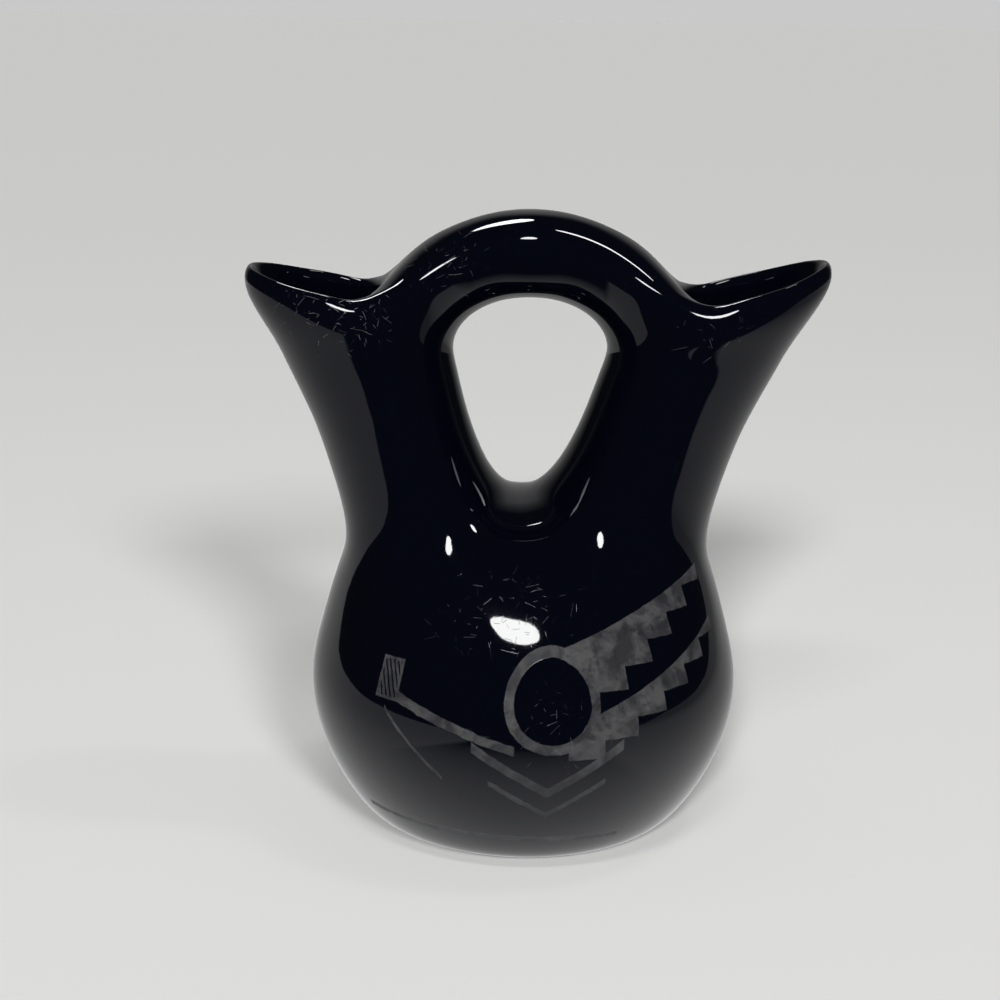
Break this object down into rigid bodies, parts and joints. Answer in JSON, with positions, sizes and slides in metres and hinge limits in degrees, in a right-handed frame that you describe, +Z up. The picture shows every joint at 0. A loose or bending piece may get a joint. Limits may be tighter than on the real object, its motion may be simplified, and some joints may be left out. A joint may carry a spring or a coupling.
{
  "type": "wedding vase",
  "caption": "Round-bellied black glazed ceramic vase that parts into flared spouts joined by an arched handle, for flowers or as an ornament.",
  "frame": {"origin": "centre of the flat foot, on the surface the vase stands on", "axes": "+Z up, +X towards the spout with the taller tip, -Y towards the decorated front"},
  "size_m": [0.2116, 0.1592, 0.2292],
  "materials": {
    "glaze": "gloss"
  },
  "bodies": {
    "root": {"vase": "glaze"}
  },
  "joints": []
}
